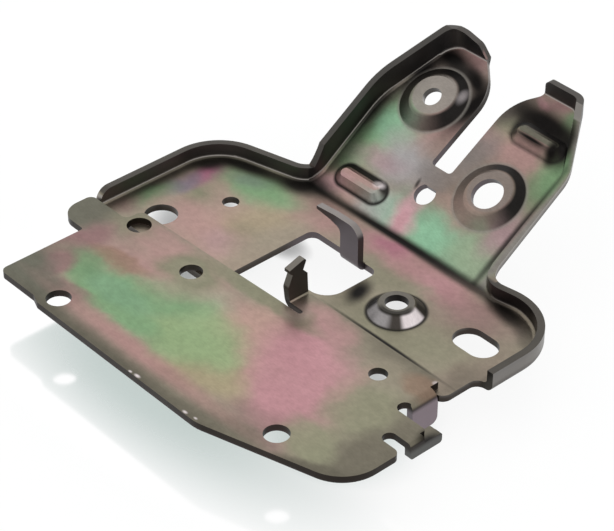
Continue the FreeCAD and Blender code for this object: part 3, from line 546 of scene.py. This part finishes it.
table = {
    "level": -10.0, "size": 6000.0, "white": "#f4f6f6", "glow": "#c6d2cf", "mirror": "#bbaeb2", "shade": 0.12,
    "brightness": 1.02, "roughness": 0.12,
    # where its polish is left, beside the plate's front edge and under its openings, as ovals (x, y, half
    # length, half width, turn in degrees, strength)
    "polished": [(-5, -78, 95, 32, 0, 1.0), (-58, -30, 38, 42, 0, 1.0), (38, -56, 30, 34, 0, 1.0)],
    # where more of the plate's shade is left, under its holes and the opening's back corner
    "shaded": [(-56, -21, 16, 22, 0, 0.9), (-37, -42, 12, 10, 0, 0.65), (-29, -12, 15, 8, 0, 0.7),
               (31, -35, 12, 12, 0, 0.5), (12, -9, 9, 9, 0, 0.3)],
}


# White acrylic table, glossy where its polish is left. It glows white where nothing is mirrored, and the
# plate's reflection takes some of that away; the rest is plain white that keeps the plate's shadow.
def makeTable():
    half = table["size"] * mm / 2
    level = table["level"] * mm
    mesh = bpy.data.meshes.new("table")
    mesh.from_pydata([(-half, -half, level), (half, -half, level), (half, half, level), (-half, half, level)],
                     [], [(0, 1, 2, 3)])
    top = bpy.data.objects.new("table", mesh)
    bpy.context.scene.collection.objects.link(top)
    material = bpy.data.materials.new("whiteAcrylic")
    material.use_nodes = True
    tree = material.node_tree
    tree.nodes.clear()
    place = addNode(tree, "ShaderNodeTexCoord").outputs["Object"]
    polish = 0.0
    for oval in table["polished"]:
        polish = maths(tree, "MAXIMUM", ovalStrength(tree, place, 0.15, *oval), polish)
    glowTone = mixColour(tree, polish, (1, 1, 1, 1), linear(table["glow"]))
    mirrorTone = mixColour(tree, polish, (0, 0, 0, 1), linear(table["mirror"]))
    path = addNode(tree, "ShaderNodeLightPath").outputs
    seen = maths(tree, "MAXIMUM", path["Is Camera Ray"], maths(tree, "MAXIMUM", path["Is Glossy Ray"],
                                                               path["Is Transmission Ray"]))
    matte = addNode(tree, "ShaderNodeBsdfPrincipled", {"Base Color": linear(table["white"]), "Roughness": 0.3,
                                                       "IOR": 1.49}).outputs[0]
    glow = addNode(tree, "ShaderNodeEmission", {"Color": glowTone,
                                                "Strength": table["brightness"]}).outputs[0]
    mirror = addNode(tree, "ShaderNodeBsdfGlossy", {"Color": mirrorTone,
                                                    "Roughness": table["roughness"]}).outputs[0]
    glossy = addNode(tree, "ShaderNodeAddShader", {0: glow, 1: mirror}).outputs[0]
    shade = table["shade"]
    for oval in table["shaded"]:
        shade = maths(tree, "MAXIMUM", ovalStrength(tree, place, 0.3, *oval), shade)
    both = addNode(tree, "ShaderNodeMixShader", {0: times(tree, seen, maths(tree, "SUBTRACT", 1.0, shade)),
                                                 1: matte, 2: glossy}).outputs[0]
    addNode(tree, "ShaderNodeOutputMaterial", {"Surface": both})
    mesh.materials.append(material)


makeTable()
print("table ready")


studio = {
    "worldLight": 0.92,
    "aim": (0, -20, 0),
    # where each soft box hangs, its side and its power in watts
    "boxes": {"backBox": ((-500, 450, 520), 700, 0.4), "sideBox": ((-520, -350, 620), 500, 0.2)},
}


# Soft studio: a white surround, a large soft box behind and above, and a weaker one at the left.
def makeStudio():
    world = bpy.data.worlds.new("studio")
    bpy.context.scene.world = world
    world.use_nodes = True
    tree = world.node_tree
    tree.nodes.clear()
    path = addNode(tree, "ShaderNodeLightPath").outputs
    seen = maths(tree, "MAXIMUM", path["Is Camera Ray"], path["Is Transmission Ray"])
    strength = addNode(tree, "ShaderNodeMapRange", {"Value": seen, "To Min": studio["worldLight"],
                                                    "To Max": 1.0})
    sky = addNode(tree, "ShaderNodeBackground", {"Color": (1, 1, 1, 1),
                                                 "Strength": strength.outputs[0]}).outputs[0]
    addNode(tree, "ShaderNodeOutputWorld", {"Surface": sky})
    for name, (spot, size, power) in studio["boxes"].items():
        lamp = bpy.data.lights.new(name, "AREA")
        lamp.shape = "SQUARE"
        lamp.size = size * mm
        lamp.energy = power
        holder = bpy.data.objects.new(name, lamp)
        holder.location = Vector(spot) * mm
        aim = Vector(studio["aim"]) * mm - holder.location
        holder.rotation_euler = aim.to_track_quat("-Z", "Y").to_euler()
        bpy.context.scene.collection.objects.link(holder)


makeStudio()
print("studio ready")


camera = {"position": (373.8, -365.0, 381.8), "azimuth": 47.97, "elevation": 36.75, "roll": -0.2118,
          "lens": 141.16, "sensor": 36.0}


# the camera's axes: right along the table, back towards the camera, then a small roll about the view line
def makeCamera():
    azimuth, elevation = math.radians(camera["azimuth"]), math.radians(camera["elevation"])
    right = Vector((math.cos(azimuth), math.sin(azimuth), 0))
    back = Vector((math.sin(azimuth) * math.cos(elevation), -math.cos(azimuth) * math.cos(elevation),
                   math.sin(elevation)))
    up = back.cross(right)
    roll = math.radians(camera["roll"])
    rolledRight = right * math.cos(roll) - up * math.sin(roll)
    rolledUp = right * math.sin(roll) + up * math.cos(roll)
    lens = bpy.data.cameras.new("camera")
    lens.sensor_fit = "HORIZONTAL"
    lens.sensor_width = camera["sensor"]
    lens.lens = camera["lens"]
    lens.clip_start = 0.01
    lens.clip_end = 50
    holder = bpy.data.objects.new("camera", lens)
    turned = Matrix((rolledRight, rolledUp, back)).transposed().to_4x4()
    holder.matrix_world = Matrix.Translation(Vector(camera["position"]) * mm) @ turned
    bpy.context.scene.collection.objects.link(holder)
    bpy.context.scene.camera = holder


makeCamera()
bpy.context.scene.view_settings.view_transform = "Standard"
print("camera ready")
